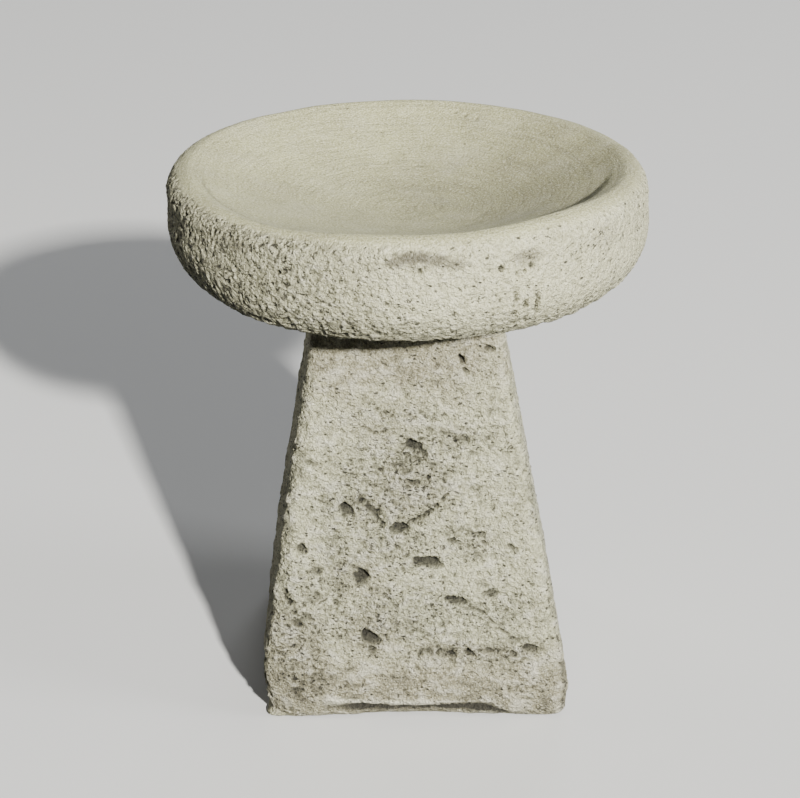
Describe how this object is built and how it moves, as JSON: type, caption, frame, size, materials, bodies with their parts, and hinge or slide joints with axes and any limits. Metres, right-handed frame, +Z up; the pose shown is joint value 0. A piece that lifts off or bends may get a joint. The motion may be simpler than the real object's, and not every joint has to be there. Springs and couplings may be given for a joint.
{
  "type": "bird bath",
  "caption": "Free-standing cast-stone bird bath: a shallow round bowl that turns and lifts off a tapered square pedestal on a hidden dowel.",
  "frame": {"origin": "on the ground under the middle of the pedestal, which is also the axis of the bowl and the dowel", "axes": "+Z up along the axis of the bowl, -Y the front face of the pedestal, +X to the right seen from the front"},
  "size_m": [0.41, 0.41, 0.4646],
  "materials": {
    "bowl_stone": "pale warm grey cast stone: smooth trowelled dish and rim, rough pitted outer wall",
    "pedestal_stone": "pale warm grey cast stone with fine pores, large pits and a rough face",
    "dowel_steel": "galvanised round bar",
    "pad_rubber": "matt black"
  },
  "bodies": {
    "pedestal": {"pedestal": "pedestal_stone", "setting_pad_1": "pad_rubber", "setting_pad_2": "pad_rubber", "setting_pad_3": "pad_rubber", "setting_pad_4": "pad_rubber"},
    "dowel": {"locating_dowel": "dowel_steel"},
    "bowl": {"bowl": "bowl_stone"}
  },
  "joints": [
    {"name": "bowl_turn", "type": "hinge", "parent": "pedestal", "child": "dowel", "pos_m": [0, 0, 0.371], "axis": [0, 0, 1], "continuous": true},
    {"name": "bowl_lift", "type": "slide", "parent": "dowel", "child": "bowl", "axis": [0, 0, 1], "range_m": [0, 0.12]}
  ]
}
